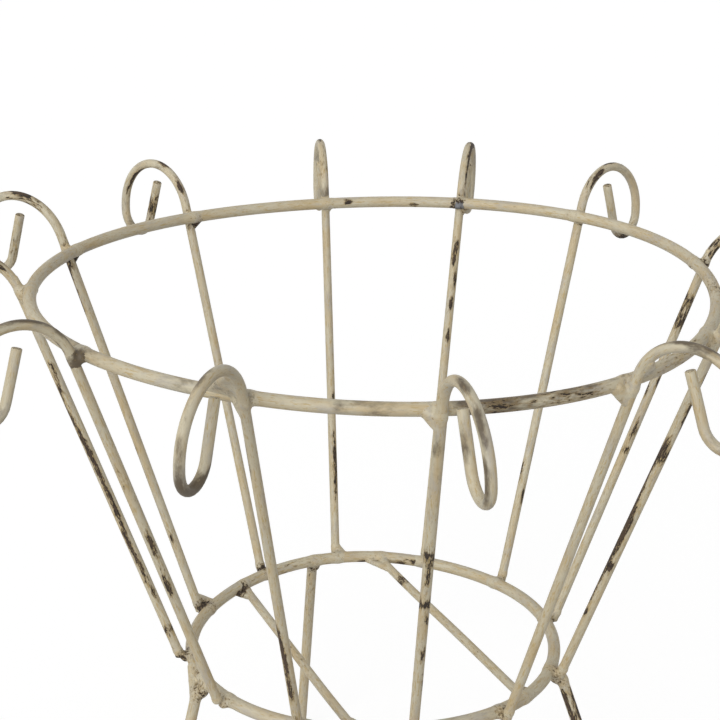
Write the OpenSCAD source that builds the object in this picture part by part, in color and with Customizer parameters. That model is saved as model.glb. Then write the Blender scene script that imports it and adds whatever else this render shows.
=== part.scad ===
// Footed wire fruit basket: two wire hoops, twelve curled uprights, two floor wires and three splayed legs.
// The origin is on the ground under the middle of the hoops, +Z is up and the front faces -Y.
// Turns are degrees about +Z, counted anticlockwise from +X.

/* [Hoops] */
// Diameter of the rim hoop, on the middle of its wire
rim_d = 290; // [250:1:330]
// Diameter of the base hoop, on the middle of its wire
base_d = 166; // [140:1:190]
// Height from the base hoop to the rim hoop
basket_h = 170; // [130:1:210]
// Wire thickness of the rim hoop
rim_wire = 5.4; // [4.5:0.1:6.5]
// Wire thickness of the base hoop
base_wire = 5.6; // [4.5:0.1:6.5]

/* [Uprights] */
// Wire thickness of the uprights
upright_wire = 4.2; // [3:0.1:5]
// Turn of the first upright
upright_turn = 10.5; // [0:0.5:29]
// Length of each upright past the middle of the base hoop
upright_tail = 1.5; // [0.5:0.1:3]
// Length of each upright past the middle of the rim hoop before it starts to curl
upright_neck = 4; // [2:0.5:8]

/* [Curls] */
// Bend radius of the wide curl, on the middle of the wire
curl_r = 24.5; // [20:0.5:30]
// Degrees that the wide curl turns
curl_sweep = 163; // [150:1:170]
// Straight length between the wide curl and the hook
curl_drop = 1.5; // [1:0.5:8]
// Bend radius of the hook, on the middle of the wire
hook_r = 10; // [6:0.5:11]
// Degrees that the hook turns
hook_sweep = 161; // [145:1:170]
// Straight length of the tip after the hook
tip_length = 21; // [14:0.5:24]
// Thickness that the wire loses where it is bent
bend_thinning = 0.06; // [0.04:0.01:0.2]

/* [Floor wires] */
// Wire thickness of the two floor wires
floor_wire = 4; // [3:0.1:5]
// Distance between the two floor wires, middle to middle
floor_spacing = 76; // [56:1:90]
// Turn of the floor wires
floor_turn = 113.5; // [106:0.5:122]
// Degrees that the two floor wires are out of parallel
floor_skew = 2.5; // [0:0.5:4]
// Distance that the pair of floor wires sits to the right of the middle of the basket
floor_offset = 0.5; // [0:0.5:6]
// Height of the middle of the base hoop over the middle of the floor wires
floor_drop = 1; // [0:0.1:1.5]

/* [Legs] */
// Wire thickness of the legs
leg_wire = 5; // [4:0.1:6.5]
// Height of the base hoop above the ground
stand_h = 115; // [60:1:160]
// Lean of the legs away from upright, in degrees
leg_splay = 15; // [8:1:24]
// Distance that the line of a leg passes outside the middle of the base hoop
leg_out = 4; // [2:0.5:6]
// Distance of the cut top of a leg below the base hoop, filled by weld
leg_gap = 1.2; // [0.5:0.1:2]

/* [Welds] */
// Thickness of weld between two wires that cross
weld_gap = 0.2; // [0.1:0.05:0.3]
// Diameter of the beads where the uprights cross the hoops
upright_bead = 8; // [7:0.1:9]
// Drop of those beads below the middle of the hoop
upright_bead_drop = 1.2; // [0.5:0.1:2]
// Diameter of the beads where the floor wires meet the base hoop
floor_bead = 8; // [7:0.1:9]
// Diameter of the beads at the tops of the legs
leg_bead = 10; // [8:0.1:11]

/* [Hidden] */
$fn = 48;
hoop_facets = 288;
paint = "#CBC2AC";
weld_paint = "#B9AF98";

// The uprights were set by eye: degrees that each stands off even spacing, at the rim and at the base
rim_shift = [3, 9, 2.7, -0.8, -2, -1.5, -7.5, -1.5, 1, -2.2, -2.8, -6];
base_shift = [4, 3.5, 2, 1.5, -2, -1.5, -0.5, 1, -1, 0, -0.5, 0];
// Degrees that each curl is twisted about its upright
curl_twist = [0, -1.5, 7.5, -4, 6.5, -4, 0, -2.5, -4, 8.5, 11, -4];
// Length that each upright runs on further past the rim hoop
neck_shift = [-4.5, -1, 2, 3.5, 1, 2.5, -4.5, -3.5, -1, 0, 1, 0.5];
// Turns of the rear, right and left legs, also set by eye
leg_turn = [110, -17.5, 208.5];
// Degrees that those legs lean further out
splay_shift = [-4, 5, -1];

upright_count = len(rim_shift);
upright_step = 360 / upright_count;
base_z = stand_h;
rim_z = base_z + basket_h;
taper = atan((rim_d - base_d) / 2 / basket_h);
// Radius of the middle of an upright where it passes each hoop
rim_seat = rim_d / 2 + (rim_wire / 2 + upright_wire / 2 + weld_gap) / cos(taper);
base_seat = base_d / 2 + (base_wire / 2 + upright_wire / 2 + weld_gap) / cos(taper);
floor_z = base_z - floor_drop;
// Radius that the ends of the floor wires stay inside of
floor_reach = base_d / 2 - base_wire / 2 - weld_gap;
// Length that a bend runs on inside a straight run
bend_lap = upright_wire / 16;
// Length from the middle of the base hoop down to the cut top of a leg, along the leg
leg_top = base_wire / 2 + leg_gap;

// Closed hoop of round wire
module hoop(diameter, wire, z) {
    translate([0, 0, z])
        rotate_extrude($fn = hoop_facets)
            translate([diameter / 2, 0])
                circle(d = wire, $fn = 48);
}

// Straight run of an upright's wire, up from the origin
module straight(length) {
    cylinder(h = length, d = upright_wire);
}

// Bent run of an upright's wire, which starts up from the origin and turns towards +X.
// It runs on a little inside the straight run at each end.
module bend(radius, sweep) {
    lap = bend_lap / radius * 180 / PI;
    translate([radius, 0, 0])
        rotate([90, 0, 180])
            rotate_extrude(angle = sweep + 2 * lap, start = -lap)
                translate([radius, 0])
                    circle(d = upright_wire - bend_thinning);
}

// Moves what follows to the end of such a bend
module after_bend(radius, sweep) {
    translate([radius, 0, 0])
        rotate([0, sweep, 0])
            translate([-radius, 0, 0])
                children();
}

// Curl at the top of an upright: a wide bend over and down, a tight hook back up, and a straight tip
module curl() {
    bend(curl_r, curl_sweep);
    after_bend(curl_r, curl_sweep) {
        straight(curl_drop);
        translate([0, 0, curl_drop]) {
            bend(hook_r, hook_sweep);
            after_bend(hook_r, hook_sweep)
                straight(tip_length);
        }
    }
}

function neck(i) = upright_neck + neck_shift[i];
function rim_turn(i) = upright_turn + i * upright_step + rim_shift[i];
function base_turn(i) = upright_turn + i * upright_step + base_shift[i];
// Way from the base seat of an upright to its rim seat, with the rim seat straight out along +X
function rise(i) =
    let (swing = base_shift[i] - rim_shift[i])
    [rim_seat - base_seat * cos(swing), -base_seat * sin(swing), basket_h];

// Puts the children at an upright's rim seat, with +Z up along its wire
module at_rim_seat(i) {
    way = rise(i);
    rotate([0, 0, rim_turn(i)])
        translate([rim_seat, 0, rim_z])
            rotate([-atan2(way.y, way.z), 0, 0])
                rotate([0, asin(way.x / norm(way)), 0])
                    children();
}

// Straight part of an upright, up to a length past the middle of the rim hoop
module upright_stem(i, top) {
    reach = norm(rise(i)) + upright_tail;
    translate([0, 0, -reach])
        straight(reach + top);
}

module upright(i) {
    color(paint)
        at_rim_seat(i)
            rotate([0, 0, curl_twist[i]]) {
                upright_stem(i, neck(i));
                translate([0, 0, neck(i)])
                    curl();
            }
}

// Turn and place of the left (-1) or right (1) floor wire, and half its length, up to the inside of the hoop
function cross_turn(side) = floor_turn + side * floor_skew / 2;
function floor_y(side) = -side * floor_spacing / 2 - floor_offset;
function floor_half(side) = sqrt(pow(floor_reach, 2) - pow(abs(floor_y(side)) + floor_wire / 2, 2));

// Wire across the floor of the basket
module floor_cross(side) {
    half = floor_half(side);
    rotate([0, 0, cross_turn(side)])
        translate([-half, floor_y(side), floor_z])
            rotate([0, 90, 0])
                cylinder(h = 2 * half, d = floor_wire);
}

function splay(i) = leg_splay + splay_shift[i];

// Puts the children where the line of a leg passes the base hoop, with +Z down along the leg and +X inwards
module at_leg(i) {
    rotate([0, 0, leg_turn[i]])
        translate([base_d / 2 + leg_out, 0, base_z])
            rotate([0, 180 - splay(i), 0])
                children();
}

// Leg with a square top end under the base hoop and a foot cut level with the ground
module leg(i) {
    over = leg_wire;
    color(paint)
        difference() {
            at_leg(i)
                translate([0, 0, leg_top])
                    cylinder(h = base_z / cos(splay(i)) - leg_top + over, d = leg_wire);
            translate([0, 0, -base_z])
                cylinder(h = base_z, d = base_d + 2 * base_z);
        }
}

module rim_ring() {
    color(paint)
        hoop(rim_d, rim_wire, rim_z);
}

module base_ring() {
    color(paint)
        hoop(base_d, base_wire, base_z);
}

module floor_wire_left() {
    color(paint)
        floor_cross(-1);
}

module floor_wire_right() {
    color(paint)
        floor_cross(1);
}

// Straight parts of all the uprights, up past the beads
module stems() {
    for (i = [0 : upright_count - 1])
        at_rim_seat(i)
            upright_stem(i, upright_bead / 2);
}

// Every wire that ends or crosses at the base hoop, and the hoop itself
module base_wires() {
    hoop(base_d, base_wire, base_z);
    stems();
    for (side = [-1, 1])
        floor_cross(side);
    for (i = [0 : len(leg_turn) - 1])
        leg(i);
}

// Round beads on the outside of a hoop, one behind each upright
module upright_beads(diameter, wire, z, turns) {
    for (turn = turns)
        rotate([0, 0, turn])
            translate([diameter / 2 + wire / 2, 0, z - upright_bead_drop])
                sphere(d = upright_bead);
}

// Round beads inside the base hoop, one at each end of the floor wires
module floor_beads() {
    for (end = [-1, 1], side = [-1, 1])
        rotate([0, 0, cross_turn(side)])
            translate([end * floor_half(side), floor_y(side), floor_z])
                sphere(d = floor_bead);
}

// Round beads between the base hoop and the top of each leg
module leg_beads() {
    for (i = [0 : len(leg_turn) - 1])
        at_leg(i)
            translate([leg_out / 2, 0, leg_top / 2])
                sphere(d = leg_bead);
}

// Welds between the uprights and the rim hoop
module rim_welds() {
    color(weld_paint)
        difference() {
            upright_beads(rim_d, rim_wire, rim_z, [for (i = [0 : upright_count - 1]) rim_turn(i)]);
            hoop(rim_d, rim_wire, rim_z);
            stems();
        }
}

// Welds between the uprights and the base hoop
module base_welds() {
    color(weld_paint)
        difference() {
            upright_beads(base_d, base_wire, base_z, [for (i = [0 : upright_count - 1]) base_turn(i)]);
            base_wires();
            floor_beads();
            leg_beads();
        }
}

// Welds between the floor wires and the base hoop
module floor_welds() {
    color(weld_paint)
        difference() {
            floor_beads();
            base_wires();
            leg_beads();
        }
}

// Welds between the legs and the base hoop
module leg_welds() {
    color(weld_paint)
        difference() {
            leg_beads();
            base_wires();
        }
}

rim_ring();
base_ring();
upright(0);  // upright_01
upright(1);  // upright_02
upright(2);  // upright_03
upright(3);  // upright_04
upright(4);  // upright_05
upright(5);  // upright_06
upright(6);  // upright_07
upright(7);  // upright_08
upright(8);  // upright_09
upright(9);  // upright_10
upright(10);  // upright_11
upright(11);  // upright_12
floor_wire_left();
floor_wire_right();
leg(0);  // leg_rear
leg(1);  // leg_right
leg(2);  // leg_left
rim_welds();
base_welds();
floor_welds();
leg_welds();
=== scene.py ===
"""Footed wire fruit basket: hand-bent steel wire, welded, painted cream and chipped by long use."""

import math

import bmesh
import bpy
from mathutils import Matrix, Vector, noise


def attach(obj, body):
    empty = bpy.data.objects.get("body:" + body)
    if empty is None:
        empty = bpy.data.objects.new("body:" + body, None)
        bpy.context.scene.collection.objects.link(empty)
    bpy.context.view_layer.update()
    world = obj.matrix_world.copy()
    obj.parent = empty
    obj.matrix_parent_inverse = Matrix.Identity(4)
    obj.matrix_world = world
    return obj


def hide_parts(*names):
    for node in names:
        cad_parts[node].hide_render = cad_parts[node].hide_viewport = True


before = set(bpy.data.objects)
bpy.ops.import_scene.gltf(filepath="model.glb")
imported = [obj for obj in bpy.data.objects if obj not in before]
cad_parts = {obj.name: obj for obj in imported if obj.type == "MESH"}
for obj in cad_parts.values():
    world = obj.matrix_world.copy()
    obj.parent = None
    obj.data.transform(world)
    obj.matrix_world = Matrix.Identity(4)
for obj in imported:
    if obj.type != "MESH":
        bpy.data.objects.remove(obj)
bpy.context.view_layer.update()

# Sizes of the basket in millimetres and degrees, the same as the solids'. Radii and heights are to the
# middle of a wire. Turns are counted anticlockwise from +X, and the front is at -Y
MM = 0.001
RIM_R = 145
RIM_WIRE = 5.4
BASE_R = 83
BASE_WIRE = 5.6
BASE_Z = 115
BASKET_H = 170
RIM_Z = BASE_Z + BASKET_H
WELD_GAP = 0.2

UPRIGHT_WIRE = 4.2
UPRIGHT_TURN = 10.5
UPRIGHT_STEP = 30
UPRIGHT_TAIL = 1.5
UPRIGHT_NECK = 4
CURL_R = 24.5
CURL_SWEEP = 163
CURL_DROP = 1.5
HOOK_R = 10
HOOK_SWEEP = 161
TIP_LENGTH = 21

# The uprights were set by eye: how far each stands off even spacing at the rim and at the base, how far
# its curl is twisted, and how much longer its neck is
RIM_SHIFT = [3, 9, 2.7, -0.8, -2, -1.5, -7.5, -1.5, 1, -2.2, -2.8, -6]
BASE_SHIFT = [4, 3.5, 2, 1.5, -2, -1.5, -0.5, 1, -1, 0, -0.5, 0]
CURL_TWIST = [0, -1.5, 7.5, -4, 6.5, -4, 0, -2.5, -4, 8.5, 11, -4]
NECK_SHIFT = [-4.5, -1, 2, 3.5, 1, 2.5, -4.5, -3.5, -1, 0, 1, 0.5]
UPRIGHTS = len(RIM_SHIFT)

# Each floor wire has its turn, and how far beside the middle of the basket it runs
FLOOR_WIRE = 4
FLOOR_DROP = 1
FLOOR_WIRES = {"floor_wire_left": (112.25, 37.5), "floor_wire_right": (114.75, -38.5)}

# Each leg has its turn and its lean
LEG_WIRE = 5
LEG_OUT = 4
LEG_GAP = 1.2
LEGS = {"leg_rear": (110, 11), "leg_right": (-17.5, 20), "leg_left": (208.5, 14)}

# The hoops were bent by hand, so they are neither round nor flat. By lobes per turn, how far the rim
# stands out, the rim stands up and the base stands up: the cosine and sine parts of each
LOBES = {
    1: ((1.5, -0.95), (0.15, -0.4), (0.1, -0.3)),
    2: ((0.6, 1.3), (0.1, 0.4), (-1.2, 0)),
    3: ((-2.6, 1.65), (0.25, 0.1), (0.25, 0.15)),
    4: ((-0.5, -0.1), (0, 0), (0.25, 0.4)),
}

# How far two of the uprights are cut shorter than the rest at their lower ends
TAIL_CUT = {6: 1.5, 7: 3}

# The upright that hides the butted ends of the hoops
BUTT_UPRIGHT = 3

# How finely the wires are drawn, and the share of its radius by which a cut end is rounded
FACETS = 20
STEP_LENGTH = 2
CUT_ROUNDING = 0.12

TAPER = math.atan((RIM_R - BASE_R) / BASKET_H)
RIM_SEAT = RIM_R + (RIM_WIRE / 2 + UPRIGHT_WIRE / 2 + WELD_GAP) / math.cos(TAPER)
BASE_SEAT = BASE_R + (BASE_WIRE / 2 + UPRIGHT_WIRE / 2 + WELD_GAP) / math.cos(TAPER)
FLOOR_REACH = BASE_R - BASE_WIRE / 2 - WELD_GAP
LEG_TOP = BASE_WIRE / 2 + LEG_GAP
UP = Vector((0, 0, 1))


def turn(degrees, axis="Z"):
    """Rotation about an axis."""
    return Matrix.Rotation(math.radians(degrees), 4, axis)


def shift(x, y, z):
    """Move along the three axes."""
    return Matrix.Translation((x, y, z))


def linear(colour):
    """Linear colour of an sRGB hex value."""
    parts = [int(colour[i : i + 2], 16) / 255 for i in (1, 3, 5)]
    parts = [p / 12.92 if p <= 0.04045 else ((p + 0.055) / 1.055) ** 2.4 for p in parts]
    return (*parts, 1)


def add(tree, kind, inputs, **settings):
    """Adds a shader node with its settings, values and links."""
    made = tree.nodes.new("ShaderNode" + kind)
    for name, value in settings.items():
        setattr(made, name, value)
    for name, value in inputs.items():
        if isinstance(value, bpy.types.NodeSocket):
            tree.links.new(value, made.inputs[name])
        else:
            made.inputs[name].default_value = value
    return made


def chipped_paint(name):
    """Brushed oil paint on steel wire, chipped by use: a dull putty cream that drifts to tan and grey,
    brown where it is rubbed thin, and small dark chips of rusted steel, drawn out along the wire, with
    crumbs of paint in them. The same dark brown is also painted shade at the bottoms of the hooks,
    under some curls and in the corners of the welds."""
    material = bpy.data.materials.new(name)
    material.use_nodes = True
    tree = material.node_tree
    shader = tree.nodes["Principled BSDF"]
    place = add(tree, "Attribute", {}, attribute_name="unbent").outputs["Vector"]

    # Coats over the cream, each with its colour, the length and width of its patches in millimetres,
    # where it is cut from the noise, where in the noise it starts and is full, how much it covers at
    # most, and the wear that brings it out and how far
    coats = {
        "tan": ("#C3AF88", 24, 5, 3, 0.4, 0.7, 0.9, "rub_and_shade", 0),
        "grey": ("#B4AEA3", 16, 5, 7, 0.48, 0.7, 0.7, "rub_and_shade", 0),
        "ochre": ("#B0986A", 9, 2, 13, 0.55, 0.75, 0.5, "rub_and_shade", 0.05),
        "grime": ("#867C6B", 2.5, 1, 19, 0.5, 0.8, 0.35, "rub_and_shade", 0),
        # The dark brown coat is rubbed paint in places, and painted shade at the bottoms of the hooks,
        # under some curls and in the corners of the welds
        "rubbed_and_shaded": ("#483A27", 7, 3, 23, 0.6, 1.05, 0.9, "rub_and_shade", 0.27),
        "thin": ("#8A734A", 4, 1.1, 29, 0.59, 0.76, 0.8, "chips", 0.27),
        "flakes": ("#2A2117", 4, 1.1, 29, 0.74, 0.78, 1, "chips", 0.27),
        "crumbs": ("#B8A274", 4, 0.6, 37, 0.54, 0.6, 0.9, "rub_and_shade", -0.25),
        "specks": ("#4B3B2C", 1.8, 0.7, 31, 0.76, 0.8, 1, "chips", 0.2),
        "steel": ("#7C7D80", 3, 3, 41, 1.25, 1.4, 1, "steel", 1),
    }
    colour = linear("#CAC1A8")
    amounts = {}
    for coat, (tint, length, width, away, low, high, most, wear, share) in coats.items():
        size = (1 / length, 1 / width, 1 / width)
        laid = add(tree, "Mapping", {"Vector": place, "Location": (away, away, away), "Scale": size})
        grain = {"Vector": laid.outputs[0], "Scale": 1, "Detail": 5, "Roughness": 0.65}
        value = add(tree, "TexNoise", grain).outputs[0]
        worn_and_shaded = add(tree, "Attribute", {}, attribute_name=wear).outputs["Fac"]
        value = add(tree, "Math", {0: worn_and_shaded, 1: share, 2: value}, operation="MULTIPLY_ADD").outputs[0]
        span = {"Value": value, "From Min": low, "From Max": high, "To Max": most}
        amounts[coat] = add(tree, "MapRange", span, interpolation_type="SMOOTHSTEP").outputs[0]
        layers = {0: amounts[coat], 6: colour, 7: linear(tint)}
        colour = add(tree, "Mix", layers, data_type="RGBA").outputs[2]
    tree.links.new(colour, shader.inputs["Base Color"])

    # Bare places are rougher than the paint, and sunk twice as deep as the grime stands proud
    bare = add(tree, "Math", {0: amounts["flakes"], 1: amounts["specks"]}, operation="MAXIMUM").outputs[0]
    rough = add(tree, "MapRange", {"Value": bare, "To Min": 0.55, "To Max": 0.8})
    tree.links.new(rough.outputs[0], shader.inputs["Roughness"])
    height = add(tree, "Math", {0: bare, 1: -2, 2: amounts["grime"]}, operation="MULTIPLY_ADD").outputs[0]
    bump = add(tree, "Bump", {"Height": height, "Strength": 0.6, "Distance": 0.1 * MM})
    tree.links.new(bump.outputs[0], shader.inputs["Normal"])
    return material


paints = {
    "painted_wire": chipped_paint("chipped_cream_paint_on_wire"),
    "painted_weld": chipped_paint("chipped_cream_paint_on_weld"),
}

# By slot, how the names of its pieces end and the angle past which an edge stays sharp
FINISHES = {"painted_wire": ("_wire", 50), "painted_weld": ("_metal", 180)}


def hand_bent(point):
    """A point moved as the basket is out of true, the same for wires that touch. The feet stay on the
    ground, and the floor wires stay nearly straight between their ends."""
    way = math.atan2(point.y, point.x)
    high = min(1, max(0, (point.z - BASE_Z) / BASKET_H))
    near_hoop = min(1, math.hypot(point.x, point.y) / BASE_R) ** 3
    low = min(1, point.z / BASE_Z) * (1 - high) * near_hoop
    moved = point.copy()
    for lobes, parts in LOBES.items():
        out, rim_up, base_up = [c * math.cos(lobes * way) + s * math.sin(lobes * way) for c, s in parts]
        up = high * rim_up + low * base_up
        moved += Vector((high * out * math.cos(way), high * out * math.sin(way), up))
    return moved


def finish_piece(bm, node, slot):
    """Makes a painted piece of a bmesh in millimetres, which stands for a solid."""
    ending, sharp = FINISHES[slot]
    for vert in bm.verts:
        vert.co = hand_bent(vert.co)
    bmesh.ops.recalc_face_normals(bm, faces=bm.faces)
    bmesh.ops.scale(bm, vec=(MM, MM, MM), verts=bm.verts)
    mesh = bpy.data.meshes.new(node + ending)
    bm.to_mesh(mesh)
    bm.free()
    mesh.shade_smooth()
    mesh.set_sharp_from_angle(angle=math.radians(sharp))
    mesh.materials.append(paints[slot])
    piece = bpy.data.objects.new(node + ending, mesh)
    bpy.context.scene.collection.objects.link(piece)
    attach(piece, "root")
    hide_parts(node)


def upright_name(i):
    """Name of the solid of an upright."""
    return f"upright_{i + 1:02d}"


# Where in the pattern of the paint each wire starts, in steps that are longer than any wire
PATTERN_STEP = 1000
PATTERN_START = {upright_name(i): i + 1 for i in range(UPRIGHTS)}
PATTERN_START |= {"rim_ring": 20, "base_ring": 22, "floor_wire_left": 24, "floor_wire_right": 25}
PATTERN_START |= {"leg_rear": 26, "leg_right": 27, "leg_left": 28}

# Chipped places of each wire: length from its start, reach, strength, and where it isn't all round, the
# angle of its side. An upright starts at its lower end, a hoop at its butted ends, a floor wire at the
# front and a leg at the top. Angles start at the side of the curl, or the side inside the basket
CHIPPED = {
    "upright_01": [
        (188, 8, 0.9), (164, 4, 1.1), (154, 6, 1.2), (124, 4, 1.4, -60), (119, 5, 1.4, 185),
        (100, 5, 1.4, -115), (89, 2, 1),
    ],
    "upright_02": [
        (199, 6, 0.9), (182, 4, 0.8), (99, 4, 1.7, -56), (65.5, 7, 1.5, -56), (56, 6, 1.4, 150),
        (42.5, 6, 1.4, -100), (216, 5, 1.8, 180), (206, 5, 1.5, -120), (274, 8, 1.2),
    ],
    "upright_03": [
        (205, 16, 1.7, -115), (222, 8, 0.8), (182, 4, 1), (159, 3.5, 1.7, -166), (152.5, 4, 1.8, 174),
        (142.5, 5, 1.5, -140), (130, 3.5, 1.7, -166), (113, 3.5, 1.7, -160),
    ],
    "upright_04": [
        (202, 12, 0.5), (222, 5, 1.2, 175), (82, 3, 1.5, -150), (55, 10, 1.3, -150),
        (38, 12, 1.3, -150),
    ],
    "upright_05": [
        (180, 6, 0.8), (196, 4.5, 1.8, 150), (211, 4, 1.7, 170), (238, 14, 1.5, 20), (296, 8, 1.1),
        (95, 15, 0.4),
    ],
    "upright_06": [
        (180, 8, 0.9), (84, 3, 1.2, 60), (39, 5, 1, 110), (212, 14, 0.7), (295, 10, 0.6),
        (217, 5, 1.5, 170), (174, 5, 1.6, 60), (162, 5, 1.6, 45), (154, 4, 1.5, 45),
    ],
    "upright_07": [
        (144, 4, 1.3, 95), (136, 4, 1.2, 70), (124, 10, 1.3, 40), (110, 10, 1.3, 75), (96, 12, 1.4, 90),
        (78, 12, 1.3, 95), (60, 9, 1.4, 70), (46, 10, 1.4, 100), (33, 4, 1.2, 120), (14, 3, 1.1),
        (1, 4, 0.8), (197, 7, 1.7, 98),
    ],
    "upright_08": [(88, 8, 1.8, 75), (67, 8, 1.7, 60), (120, 15, 0.3)],
    "upright_09": [
        (63, 6, 1.7, -30), (53, 7, 1.8, -10), (42, 8, 1.8, 0), (32, 4, 1.4, 5), (26, 3, 1.7, 12),
        (10, 8, 0.6),
    ],
    "upright_10": [
        (111, 5, 1.1), (100, 7, 1.3, -11), (84.5, 4, 1.1), (75.5, 3, 1.4, 10), (55, 5, 1.5, 10),
        (36, 6, 1.4, 60),
    ],
    "upright_11": [(150, 10, 0.3)],
    "upright_12": [
        (163, 4, 1.5, 0), (148, 5, 1.5, -30), (141, 3, 1.4, 0), (136, 6, 1.3, 14), (130, 4, 1.3, -110),
        (124, 5, 1.1), (112, 12, 1.6, 210), (96, 10, 1.5, 210), (83, 14, 1.8, -105), (68, 12, 1.5, 210),
        (64, 2.2, 1.9, -75), (50, 8, 1.3, 210), (38, 2, 1.9, -130),
    ],
    "rim_ring": [
        (866, 1.8, 1.8, -20), (900, 1.8, 1.9, 25), (472, 8, 0.7), (500, 20, 0.7), (560, 20, 0.5),
        (650, 15, 0.6),
    ],
    "base_ring": [
        (20, 30, 0.4), (481, 3.5, 1.8, 10), (489, 2.5, 1.8, -20), (509, 3, 1.6, -40), (145, 20, 0.6),
    ],
    "floor_wire_left": [(60, 30, 0.3)],
    "floor_wire_right": [(115, 5, 1.2), (60, 30, 0.2)],
    "leg_rear": [(20, 20, 0.3)],
    "leg_right": [
        (9, 8, 1.6, -65), (22, 9, 1.6, -85), (34, 8, 1.6, -115), (14, 16, 1.5, 190), (32, 10, 1.4, 170),
    ],
    "leg_left": [(60, 20, 0.3)],
}

# Rubbed places and painted shade, in the same way: mostly the tops of the curls and the bottoms of the
# hooks. The dark brown they bring out is rubbed paint on the curl tops and the rim, and painted shade
# at the bottoms of the hooks and on the lower sides of some curls
RUBBED_AND_SHADED = {
    "upright_01": [(202, 15, 0.8)],
    "upright_02": [(222, 30, 0.5), (275, 10, 1)],
    "upright_03": [(230, 20, 0.7), (182, 5, 1)],
    "upright_04": [(230, 20, 0.7), (186, 5, 1.6)],
    "upright_05": [(212, 30, 0.5), (270, 12, 1.2)],
    "upright_06": [(220, 30, 0.6), (270, 15, 0.8)],
    "upright_07": [(202, 30, 1.4, 180), (270, 15, 0.8)],
    "upright_08": [(202, 22, 2.4, 165), (189, 9, 2.4, -20), (268, 12, 1.2)],
    "upright_09": [
        (160, 6, 1.8, -68), (148, 8, 1.4, -68), (222, 9, 2, -140), (250, 14, 1.4, 170), (268, 10, 2.4),
        (280, 7, 2, 110),
    ],
    "upright_10": [
        (166, 5, 1.1), (152, 6, 0.7), (220, 7, 1.9, -150), (236, 8, 2, -150), (250, 5, 2, -110),
        (260, 6, 2, -110), (271, 7, 2, 150), (294, 7, 1.9, -60),
    ],
    "upright_11": [(208, 12, 1.6, 180), (222, 10, 1.1), (270, 12, 1)],
    "upright_12": [(202, 30, 0.7), (270, 12, 0.9)],
    "rim_ring": [
        (302, 12, 1.3), (357, 6, 1), (417, 4, 1), (424, 3, 1.2, 90), (431, 7, 1), (462, 8, 1.4),
        (475, 12, 1), (498, 20, 0.8), (480, 16, 0.6, 90), (508, 14, 0.7, 90),
    ],
    "base_ring": [(250, 60, 0.5)],
}

# How narrow the chipped sides, and the rubbed and painted-shade sides, of a wire are, and how chipped
# a cut end and its edge are
CHIP_KEEN = 5
RUB_AND_SHADE_KEEN = 2
END_CHIPPED = 0.7
EDGE_CHIPPED = 0.4


def amount_at(along, around, places, keen):
    """How worn the paint is, and how dark its painted shade is where a table holds shade, at a length
    along a wire and an angle round it.
    """
    total = 0
    for place, reach, strength, *side in places:
        facing = max(0, math.cos(around - math.radians(side[0]))) ** keen if side else 1
        total += strength * facing * math.exp(-(((along - place) / reach) ** 2))
    return total


def extend(bm, ring, matrix):
    """Extrudes an open ring of edges, moves the new ring and returns it."""
    made = bmesh.ops.extrude_edge_only(bm, edges=ring)["geom"]
    verts = [part for part in made if isinstance(part, bmesh.types.BMVert)]
    edges = [part for part in made if isinstance(part, bmesh.types.BMEdge)]
    bmesh.ops.transform(bm, matrix=matrix, verts=verts)
    return [edge for edge in edges if all(vert in verts for vert in edge.verts)]


def bent_wire(node, runs, wire, cut=CUT_ROUNDING):
    """Mesh of a round wire that starts at the origin, up +Z. A run is a length, or a bend radius and its
    degrees towards +X. Each vertex keeps its place on the wire as it was before it was bent, how
    worn it is there, and how dark its painted shade is."""
    bm = bmesh.new()
    unbent = bm.verts.layers.float_vector.new("unbent")
    chips = bm.verts.layers.float.new("chips")
    rub_and_shade = bm.verts.layers.float.new("rub_and_shade")
    start = PATTERN_START[node] * PATTERN_STEP
    radius = wire / 2
    flat = 1 - cut
    bmesh.ops.create_circle(bm, cap_ends=True, segments=FACETS, radius=radius * flat)
    ring = list(bm.edges)
    tip = Matrix()
    along = 0

    def mark(edges, bare):
        back = tip.inverted()
        for vert in {v for edge in edges for v in edge.verts}:
            place = back @ vert.co
            vert[unbent] = (start + along, place.x, place.y)
            around = math.atan2(place.y, place.x)
            vert[chips] = amount_at(along, around, CHIPPED[node], CHIP_KEEN) + bare
            vert[rub_and_shade] = amount_at(along, around, RUBBED_AND_SHADED.get(node, ()), RUB_AND_SHADE_KEEN)

    mark(ring, END_CHIPPED)
    if cut:
        ring = extend(bm, ring, shift(0, 0, radius * cut) @ Matrix.Diagonal((1 / flat, 1 / flat, 1, 1)))
        mark(ring, EDGE_CHIPPED)
    for run in runs:
        bend_r, sweep = run if isinstance(run, tuple) else (None, None)
        length = bend_r * math.radians(sweep) if bend_r else run
        count = max(1, round(length / STEP_LENGTH))
        for _ in range(count):
            if bend_r:
                move = shift(bend_r, 0, 0) @ turn(sweep / count, "Y") @ shift(-bend_r, 0, 0)
            else:
                move = shift(0, 0, length / count)
            along += length / count
            ring = extend(bm, ring, tip @ move @ tip.inverted())
            tip = tip @ move
            mark(ring, 0)
    if cut:
        move = shift(0, 0, radius * cut) @ Matrix.Diagonal((flat, flat, 1, 1))
        ring = extend(bm, ring, tip @ move @ tip.inverted())
        mark(ring, END_CHIPPED)
    bmesh.ops.contextual_create(bm, geom=ring)
    return bm


def rim_turn(i):
    """Turn of an upright where it passes the rim hoop."""
    return UPRIGHT_TURN + i * UPRIGHT_STEP + RIM_SHIFT[i]


def base_turn(i):
    """Turn of an upright where it passes the base hoop."""
    return UPRIGHT_TURN + i * UPRIGHT_STEP + BASE_SHIFT[i]


def rise(i):
    """Way from the base seat of an upright to its rim seat, with the rim seat straight out along +X."""
    swing = math.radians(BASE_SHIFT[i] - RIM_SHIFT[i])
    return Vector((RIM_SEAT - BASE_SEAT * math.cos(swing), -BASE_SEAT * math.sin(swing), BASKET_H))


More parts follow.
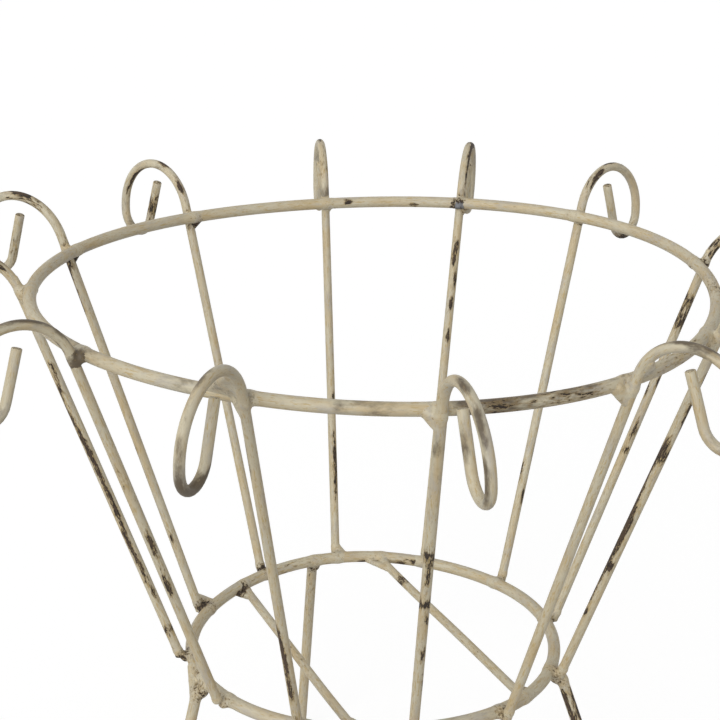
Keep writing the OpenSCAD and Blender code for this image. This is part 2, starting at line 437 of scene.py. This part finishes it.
def at_rim_seat(i):
    """Place of an upright's rim seat, with +Z up along its wire."""
    way = rise(i)
    lean = turn(-math.degrees(math.atan2(way.y, way.z)), "X")
    tilt = turn(math.degrees(math.asin(way.x / way.length)), "Y")
    return turn(rim_turn(i)) @ shift(RIM_SEAT, 0, RIM_Z) @ lean @ tilt


def at_base_seat(i):
    """Place of an upright's base seat, with +Z up along its wire."""
    return at_rim_seat(i) @ shift(0, 0, -rise(i).length)


def at_leg(node):
    """Place where the line of a leg passes the base hoop, with +Z down along the leg and +X inwards."""
    way, splay = LEGS[node]
    return turn(way) @ shift(BASE_R + LEG_OUT, 0, BASE_Z) @ turn(180 - splay, "Y")


def floor_half(place):
    """Half the length of a floor wire, up to the inside of the base hoop."""
    return math.sqrt(FLOOR_REACH**2 - (abs(place) + FLOOR_WIRE / 2) ** 2)


def make_upright(i):
    """Upright of the basket, with its curl."""
    node = upright_name(i)
    reach = rise(i).length + UPRIGHT_TAIL - TAIL_CUT.get(i, 0)
    stem = reach + UPRIGHT_NECK + NECK_SHIFT[i]
    runs = [stem, (CURL_R, CURL_SWEEP), CURL_DROP, (HOOK_R, HOOK_SWEEP), TIP_LENGTH]
    bm = bent_wire(node, runs, UPRIGHT_WIRE)
    matrix = at_rim_seat(i) @ turn(CURL_TWIST[i]) @ shift(0, 0, -reach)
    bmesh.ops.transform(bm, matrix=matrix, verts=bm.verts)
    finish_piece(bm, node, "painted_wire")


def make_hoop(node, radius, wire, z, butt):
    """Hoop bent from one wire, its two cut ends butted together at a turn."""
    bm = bent_wire(node, [(radius, 360)], wire, cut=0)
    lay_flat = shift(radius, 0, 0) @ turn(-90, "X") @ turn(180)
    bmesh.ops.transform(bm, matrix=turn(butt) @ shift(0, 0, z) @ lay_flat, verts=bm.verts)
    finish_piece(bm, node, "painted_wire")


def make_floor_wire(node):
    """Straight wire across the floor of the basket."""
    way, place = FLOOR_WIRES[node]
    half = floor_half(place)
    bm = bent_wire(node, [2 * half], FLOOR_WIRE)
    matrix = turn(way) @ shift(-half, place, BASE_Z - FLOOR_DROP) @ turn(90, "Y")
    bmesh.ops.transform(bm, matrix=matrix, verts=bm.verts)
    finish_piece(bm, node, "painted_wire")


def make_leg(node):
    """Splayed leg, its foot cut level with the ground."""
    length = BASE_Z / math.cos(math.radians(LEGS[node][1])) - LEG_TOP + LEG_WIRE
    bm = bent_wire(node, [length], LEG_WIRE)
    bmesh.ops.transform(bm, matrix=at_leg(node) @ shift(0, 0, LEG_TOP), verts=bm.verts)
    parts = list(bm.verts) + list(bm.edges) + list(bm.faces)
    cut = bmesh.ops.bisect_plane(bm, geom=parts, plane_co=(0, 0, 0), plane_no=-UP, clear_outer=True)
    foot = [part for part in cut["geom_cut"] if isinstance(part, bmesh.types.BMEdge)]
    bmesh.ops.contextual_create(bm, geom=foot)
    finish_piece(bm, node, "painted_wire")


# How finely weld metal is drawn, how often and how much it is smoothed, the sizes of its lumps with
# their heights, and how far the wear and painted shade of a place on it spread
WELD_VOXEL = 0.45
WELD_SMOOTHINGS = 20
WELD_SMOOTHING = 0.5
WELD_LUMPS = {2.5: 0.12, 1.1: 0.04}
WELD_WEAR_AND_SHADE_REACH = 5

# The patches of paint are about this much longer than wide on a wire, and as long as wide on a weld
PATCH_STRETCH = 3.5

# How far the weld metal on a wire stands proud of it at the joint and is sunk into it at the end
FLARE_PROUD = 0.4
FLARE_SUNK = 0.3
FLARE_FACETS = 24

# How far the weld metal of each joint runs out along its wires
RIM_RUN = 8
RIM_STEM_RUN = 7
BASE_RUN = 7
BASE_STEM_RISE = 2.5
BASE_STEM_UP = 5
BASE_STEM_DOWN = 4.5
FLOOR_END_RUN = 1
FLOOR_RUN = 6
LEG_HOOP_RUN = 8
LEG_RUN = 7
LEG_RUN_UP = 3

# Widths of the beads of weld metal
UPRIGHT_BEAD = 5.5
BLOB_BEAD = 2.4
FLOOR_BEAD = 5
LEG_BEAD = 7
WEB_BEAD = 3.3
CORNER_BEAD = 3.4
FLOOR_WEB_BEAD = 3.2
LEG_WEB_BEAD = 5

# How many beads of a web lie in the width of one, and the share of the way inwards to its second line
WEB_CLOSENESS = 3
WEB_INWARDS = 0.35


def flare(bm, matrix, wire, ahead, back):
    """Weld metal that runs out thinly over a wire, ahead along +Z of a place and back."""
    proud = wire / 2 + FLARE_PROUD
    sunk = wire / 2 - FLARE_SUNK
    for way, length in ((0, ahead), (180, back)):
        half = matrix @ turn(way, "X") @ shift(0, 0, length / 2)
        sizes = {"segments": FLARE_FACETS, "radius1": proud, "radius2": sunk, "depth": length}
        bmesh.ops.create_cone(bm, cap_ends=True, matrix=half, **sizes)


def hoop_flare(bm, way, radius, wire, z, length):
    """Weld metal that runs out along a hoop, both ways from a turn."""
    flare(bm, turn(way) @ shift(radius, 0, z) @ turn(90, "X"), wire, length, length)


def bead(bm, place, size):
    """Round bead of weld metal."""
    bmesh.ops.create_icosphere(bm, subdivisions=2, radius=size / 2, matrix=Matrix.Translation(place))


def web(bm, start, end, size):
    """Weld metal strung across the corner between two wires, its beads close enough to run together."""
    count = math.ceil((end - start).length / size * WEB_CLOSENESS)
    for step in range(count + 1):
        bead(bm, start.lerp(end, step / count), size)


def corner_web(bm, start, end, corner):
    """Web across a corner, with a second one nearer to the corner so that no hole is left."""
    for inwards in (0, WEB_INWARDS):
        web(bm, start.lerp(corner, inwards), end.lerp(corner, inwards), WEB_BEAD)


def make_welds(bm, node, worn_and_shaded):
    """Melts beads and flares into lumpy weld metal that fills the corners between the wires. Each worn
    place is a point and how far it is chipped, rubbed and darkened with painted shade, and bare."""
    mesh = bpy.data.meshes.new(node)
    bm.to_mesh(mesh)
    bm.free()
    raw = bpy.data.objects.new(node, mesh)
    bpy.context.scene.collection.objects.link(raw)
    melt = raw.modifiers.new("melt", "REMESH")
    melt.mode = "VOXEL"
    melt.voxel_size = WELD_VOXEL
    flow = raw.modifiers.new("flow", "SMOOTH")
    flow.iterations = WELD_SMOOTHINGS
    flow.factor = WELD_SMOOTHING
    graph = bpy.context.evaluated_depsgraph_get()
    melted = bpy.data.meshes.new_from_object(raw.evaluated_get(graph))
    bpy.data.objects.remove(raw)
    bm = bmesh.new()
    bm.from_mesh(melted)
    bm.normal_update()
    unbent = bm.verts.layers.float_vector.new("unbent")
    marks = [bm.verts.layers.float.new(wear) for wear in ("chips", "rub_and_shade", "steel")]
    for vert in bm.verts:
        lump = sum(noise.noise(vert.co / size) * height for size, height in WELD_LUMPS.items())
        vert.co += vert.normal * lump
        vert[unbent] = (PATCH_STRETCH * vert.co.x, vert.co.y, vert.co.z)
        spot, *wears = min(worn_and_shaded, key=lambda place: (place[0] - vert.co).length_squared)
        near = math.exp(-(((vert.co - spot).length / WELD_WEAR_AND_SHADE_REACH) ** 2))
        for mark, wear in zip(marks, wears):
            vert[mark] = wear * near
    finish_piece(bm, node, "painted_weld")


# Webs of the rim welds of each upright: the side of the stem they are on, their reach, how chipped
# they are, and how rubbed they are and darkened with painted shade in the corner of stem and rim
RIM_WEBS = [
    [(-1, 3, 1.7, 0.5), (1, 3, 1.7, 0.5)],
    [(-1, 2, 0.6, 0.8)],
    [(-1, 4, 0.8, 1)],
    [(-1, 2, 0.5, 0.4)],
    [(-1, 4, 1.6, 0.5)],
    [(-1, 4, 1.6, 0.5)],
    [(-1, 3, 0.6, 0.8), (1, 3, 0.6, 0.8)],
    [(1, 1, 0.2, 3.4)],
    [(-1, 4, 0.3, 0.6)],
    [(-1, 4.5, 0.2, 0.3)],
    [(-1, 5.5, 0, 0.3)],
    [(-1, 4, 0.5, 0.6)],
]

# Corners above the rim that are filled in with weld metal: the upright, the side of it, how rubbed the
# metal is and darkened with painted shade in the corner, and how far along the rim and up the stem it
# reaches. On the stem it bends with the curl
FILLED_CORNERS = [(8, -1, 1, 17, 18), (10, 1, 1, 16, 13)]
CORNER_ROWS = 12
CORNER_CHIPPED = 0.3
CORNER_BEND_R = 30

# The bare blob of weld on the inside of the rim: its upright, and how chipped, rubbed and bare it is
BLOB_UPRIGHT = 2
BLOB_WORN = (1.5, 0.6, 1)


def make_rim_welds():
    """Welds between the uprights and the rim hoop."""
    bm = bmesh.new()
    worn_and_shaded = []
    for i, webs in enumerate(RIM_WEBS):
        seat = at_rim_seat(i)
        hoop_flare(bm, rim_turn(i), RIM_R, RIM_WIRE, RIM_Z, RIM_RUN)
        flare(bm, seat @ shift(0, 0, -1), UPRIGHT_WIRE, RIM_STEM_RUN, RIM_STEM_RUN)
        bead(bm, turn(rim_turn(i)) @ Vector((RIM_R + RIM_WIRE / 2, 0, RIM_Z - 1)), UPRIGHT_BEAD)
        for side, reach, chipped, rubbed_and_shaded in webs:
            start = turn(rim_turn(i)) @ Vector((RIM_R + 1, side * (reach + 1.5), RIM_Z - 0.5))
            end = seat @ Vector((0, side, -2.5 - reach))
            corner_web(bm, start, end, seat.translation)
            # The rubbed wear of a web also lays painted shade in the corner between the stem and the rim
            worn_and_shaded.append((start.lerp(end, 0.5), chipped, rubbed_and_shaded, 0))
    for i, side, rubbed_and_shaded, across, up in FILLED_CORNERS:
        stem = at_rim_seat(i) @ turn(CURL_TWIST[i])
        for row in range(1, CORNER_ROWS + 1):
            part = row / CORNER_ROWS
            way = rim_turn(i) + side * math.degrees(across * part / RIM_R)
            start = turn(way) @ Vector((RIM_R, 0, RIM_Z + 0.5))
            end = stem @ Vector(((up * part) ** 2 / (2 * CORNER_BEND_R), 0, up * part))
            web(bm, start, end, CORNER_BEAD)
            # The rubbed wear of a filled corner also lays painted shade in it
            worn_and_shaded.append((start.lerp(end, 0.4), CORNER_CHIPPED, rubbed_and_shaded, 0))
    blob = turn(rim_turn(BLOB_UPRIGHT)) @ Vector((RIM_R - RIM_WIRE / 2, -1, RIM_Z - 1))
    bead(bm, blob, BLOB_BEAD)
    worn_and_shaded.append((blob, *BLOB_WORN))
    make_welds(bm, "rim_welds", worn_and_shaded)


# How chipped and rubbed the base weld of each upright is, and the reach of the webs that two of them
# have beside the stem
BASE_WELDS_WORN = [0.8, 0.5, 0.5, 0.5, 1.6, 1.7, 1.2, 0.6, 0.8, 0.8, 1, 0.8]
BASE_WEBS = {3: 1.5, 5: 4}


def make_base_welds():
    """Welds between the uprights and the base hoop."""
    bm = bmesh.new()
    worn_and_shaded = []
    for i, wear in enumerate(BASE_WELDS_WORN):
        stem = at_base_seat(i) @ shift(0, 0, BASE_STEM_RISE)
        hoop_flare(bm, base_turn(i), BASE_R, BASE_WIRE, BASE_Z, BASE_RUN)
        flare(bm, stem, UPRIGHT_WIRE, BASE_STEM_UP, BASE_STEM_DOWN - TAIL_CUT.get(i, 0))
        spot = turn(base_turn(i)) @ Vector((BASE_R + BASE_WIRE / 2, 0, BASE_Z - 0.5))
        bead(bm, spot, UPRIGHT_BEAD)
        worn_and_shaded.append((spot, wear, wear, 0))
    for i, reach in BASE_WEBS.items():
        seat = at_base_seat(i)
        start = turn(base_turn(i)) @ Vector((BASE_R + 1.5, -reach - 2, BASE_Z + 1))
        corner_web(bm, start, seat @ Vector((0, -1, reach + 2)), seat.translation)
    make_welds(bm, "base_welds", worn_and_shaded)


# How chipped and rubbed the front and rear weld of each floor wire are, the turns along the hoop to its
# web and to its wear, and the reach of its web along the wire
FLOOR_WELDS_WORN = {"floor_wire_left": (0.5, 1.6), "floor_wire_right": (0.8, 0.4)}
FLOOR_WEB_TURN = 5
FLOOR_WEAR_TURN = 4
FLOOR_WEB_REACH = 7


def make_floor_welds():
    """Welds between the floor wires and the inside of the base hoop, each with a web on one side."""
    bm = bmesh.new()
    worn_and_shaded = []
    floor_z = BASE_Z - FLOOR_DROP
    for node, (way, place) in FLOOR_WIRES.items():
        half = floor_half(place)
        cross = math.sqrt(BASE_R**2 - place**2)
        for end, wear in zip((-1, 1), FLOOR_WELDS_WORN[node]):
            spot = turn(way) @ Vector((end * half, place, floor_z))
            outwards = Matrix.Translation(spot) @ turn(way) @ turn(90 * end, "Y")
            hoop_way = way + math.degrees(math.atan2(place, end * cross))
            hoop_flare(bm, hoop_way, BASE_R, BASE_WIRE, BASE_Z, BASE_RUN)
            flare(bm, outwards, FLOOR_WIRE, FLOOR_END_RUN, FLOOR_RUN)
            bead(bm, spot, FLOOR_BEAD)
            on_hoop = turn(hoop_way + FLOOR_WEB_TURN) @ Vector((BASE_R - 1, 0, floor_z))
            on_wire = turn(way) @ Vector((end * (half - FLOOR_WEB_REACH), place + end, floor_z))
            web(bm, on_hoop, on_wire, FLOOR_WEB_BEAD)
            inside = turn(hoop_way + FLOOR_WEAR_TURN) @ Vector((BASE_R - 3, 0, BASE_Z))
            worn_and_shaded.append((inside, wear, wear, 0))
    make_welds(bm, "floor_welds", worn_and_shaded)


# How chipped, rubbed and bare the welds of the legs are, and the turn from the left leg to its web
LEG_WELDS_WORN = (1.2, 0.4, 0)
LEG_WEB_TURN = 11


def make_leg_welds():
    """Welds between the legs and the base hoop, with a web beside the left leg."""
    bm = bmesh.new()
    worn_and_shaded = []
    for node, (way, _) in LEGS.items():
        hoop_flare(bm, way, BASE_R, BASE_WIRE, BASE_Z, LEG_HOOP_RUN)
        flare(bm, at_leg(node) @ shift(0, 0, LEG_TOP + 1), LEG_WIRE, LEG_RUN, LEG_RUN_UP)
        spot = at_leg(node) @ Vector((LEG_OUT / 2, 0, LEG_TOP * 0.8))
        bead(bm, spot, LEG_BEAD)
        worn_and_shaded.append((spot, *LEG_WELDS_WORN))
    start = turn(LEGS["leg_left"][0] - LEG_WEB_TURN) @ Vector((BASE_R + 1.5, 0, BASE_Z))
    web(bm, start, at_leg("leg_left") @ Vector((0, 0, LEG_TOP + 4)), LEG_WEB_BEAD)
    make_welds(bm, "leg_welds", worn_and_shaded)


for index in range(UPRIGHTS):
    make_upright(index)
make_hoop("rim_ring", RIM_R, RIM_WIRE, RIM_Z, rim_turn(BUTT_UPRIGHT))
make_hoop("base_ring", BASE_R, BASE_WIRE, BASE_Z, base_turn(BUTT_UPRIGHT))
for floor_node in FLOOR_WIRES:
    make_floor_wire(floor_node)
for leg_node in LEGS:
    make_leg(leg_node)
make_rim_welds()
make_base_welds()
make_floor_welds()
make_leg_welds()

# Half the width of the floor in metres, how much light it throws back, how much it glows where the camera
# sees it, and how strongly the world lights the basket
FLOOR_HALF = 8
FLOOR_SHADE = 0.4
FLOOR_GLOW = 0.73
WORLD_LIGHT = 0.49

# Soft lamps: the way each shines from, its strength and its spread in degrees
LAMPS = {"key": ((-0.3, -0.9, 0.25), 1.6, 40), "fill": ((-0.9, -0.2, 0.4), 0.5, 40)}

# The photograph's camera: its lens and sensor in millimetres, its place in metres from the middle of the
# rim hoop, and how far it looks down and is rolled
CAMERA_LENS = 89.59
CAMERA_SENSOR = 36
CAMERA_PLACE = (-0.00654, -0.7318, 0.22905)
CAMERA_PITCH = 19.78
CAMERA_ROLL = 0.297


def make_stage():
    """White floor, soft light from the front and the left, and the photograph's camera."""
    scene = bpy.context.scene
    scene.view_settings.view_transform = "Standard"

    bm = bmesh.new()
    bmesh.ops.create_grid(bm, x_segments=1, y_segments=1, size=FLOOR_HALF)
    mesh = bpy.data.meshes.new("floor")
    bm.to_mesh(mesh)
    bm.free()
    floor = bpy.data.objects.new("floor", mesh)
    scene.collection.objects.link(floor)

    # Matt white card: no gloss, so only the soft shadow of the basket shows on it
    white = bpy.data.materials.new("white_floor")
    white.use_nodes = True
    shader = white.node_tree.nodes["Principled BSDF"]
    shader.inputs["Base Color"].default_value = (FLOOR_SHADE, FLOOR_SHADE, FLOOR_SHADE, 1)
    shader.inputs["Roughness"].default_value = 1
    shader.inputs["Specular IOR Level"].default_value = 0
    shader.inputs["Emission Color"].default_value = linear("#FFFFFF")
    mesh.materials.append(white)

    world = bpy.data.worlds.new("studio")
    scene.world = world
    world.use_nodes = True
    sky = world.node_tree.nodes["Background"]
    sky.inputs["Color"].default_value = linear("#FFFFFF")

    # Floor and world are white where the camera or a gloss sees them, and shine less on the basket
    glows = [
        (white.node_tree, shader.inputs["Emission Strength"], 0, FLOOR_GLOW),
        (world.node_tree, sky.inputs["Strength"], WORLD_LIGHT, 1),
    ]
    for tree, strength, shining, seen in glows:
        path = add(tree, "LightPath", {})
        sight = path.outputs["Is Camera Ray"]
        for ray in ("Is Glossy Ray", "Is Transmission Ray"):
            sight = add(tree, "Math", {0: sight, 1: path.outputs[ray]}, operation="MAXIMUM").outputs[0]
        level = add(tree, "MapRange", {"Value": sight, "To Min": shining, "To Max": seen})
        tree.links.new(level.outputs[0], strength)

    for name, (direction, power, spread) in LAMPS.items():
        lamp = bpy.data.lights.new(name, "SUN")
        lamp.energy = power
        lamp.angle = math.radians(spread)
        sun = bpy.data.objects.new(name, lamp)
        sun.rotation_euler = Vector(direction).to_track_quat("Z", "Y").to_euler()
        scene.collection.objects.link(sun)

    camera = bpy.data.objects.new("camera", bpy.data.cameras.new("camera"))
    camera.data.lens = CAMERA_LENS
    camera.data.sensor_width = CAMERA_SENSOR
    looking = turn(90 - CAMERA_PITCH, "X") @ turn(CAMERA_ROLL)
    camera.matrix_world = shift(0, 0, RIM_Z * MM) @ shift(*CAMERA_PLACE) @ looking
    scene.collection.objects.link(camera)
    scene.camera = camera


make_stage()
